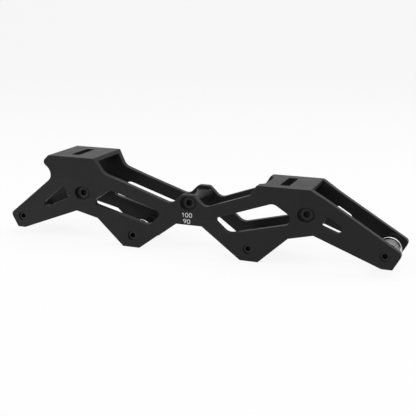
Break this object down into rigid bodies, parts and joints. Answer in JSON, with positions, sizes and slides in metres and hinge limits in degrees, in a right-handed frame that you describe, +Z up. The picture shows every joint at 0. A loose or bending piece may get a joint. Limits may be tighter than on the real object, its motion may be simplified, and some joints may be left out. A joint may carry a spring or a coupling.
{
  "type": "inline skate frame",
  "caption": "Machined aluminium inline skate frame with stepped heel and toe decks, slotted boot mounts, bolted cross bars, screw-in axles and collared bearing spacers.",
  "frame": {"origin": "mid wheelbase, midway between the walls, level with the flats under the inner axles", "axes": "+X towards the toe, +Y across the frame towards the axle heads, +Z up towards the boot"},
  "size_m": [0.3032, 0.0434, 0.0658],
  "materials": {
    "anodised_black": "black satin anodised, lightly bead-blasted",
    "screw_steel": "black oxide",
    "axle_steel": "dark plated",
    "spacer_aluminium": "bright turned"
  },
  "bodies": {
    "frame": {"frame_body": "anodised_black", "heel_cross_bar": "anodised_black", "middle_cross_bar": "anodised_black", "toe_cross_bar": "anodised_black", "heel_bar_screw_near": "screw_steel", "middle_bar_screw_near": "screw_steel", "toe_bar_screw_near": "screw_steel", "heel_bar_screw_far": "screw_steel", "middle_bar_screw_far": "screw_steel", "toe_bar_screw_far": "screw_steel"},
    "axle_1": {"axle_1": "axle_steel"},
    "axle_2": {"axle_2": "axle_steel"},
    "axle_3": {"axle_3": "axle_steel"},
    "axle_4": {"axle_4": "axle_steel"},
    "spacer_1": {"spacer_1": "spacer_aluminium"},
    "spacer_2": {"spacer_2": "spacer_aluminium"},
    "spacer_3": {"spacer_3": "spacer_aluminium"},
    "spacer_4": {"spacer_4": "spacer_aluminium"}
  },
  "joints": [
    {"name": "axle_1_withdraw", "type": "slide", "parent": "frame", "child": "axle_1", "axis": [0, 1, 0], "range_m": [0, 0.04]},
    {"name": "axle_2_withdraw", "type": "slide", "parent": "frame", "child": "axle_2", "axis": [0, 1, 0], "range_m": [0, 0.04]},
    {"name": "axle_3_withdraw", "type": "slide", "parent": "frame", "child": "axle_3", "axis": [0, 1, 0], "range_m": [0, 0.04]},
    {"name": "axle_4_withdraw", "type": "slide", "parent": "frame", "child": "axle_4", "axis": [0, 1, 0], "range_m": [0, 0.04]},
    {"name": "spacer_1_spin", "type": "hinge", "parent": "frame", "child": "spacer_1", "pos_m": [-0.1415, 0, 0.0145], "axis": [0, 1, 0], "continuous": true},
    {"name": "spacer_2_spin", "type": "hinge", "parent": "frame", "child": "spacer_2", "pos_m": [-0.0455, 0, 0.0087], "axis": [0, 1, 0], "continuous": true},
    {"name": "spacer_3_spin", "type": "hinge", "parent": "frame", "child": "spacer_3", "pos_m": [0.0455, 0, 0.0087], "axis": [0, 1, 0], "continuous": true},
    {"name": "spacer_4_spin", "type": "hinge", "parent": "frame", "child": "spacer_4", "pos_m": [0.1415, 0, 0.0145], "axis": [0, 1, 0], "continuous": true}
  ]
}
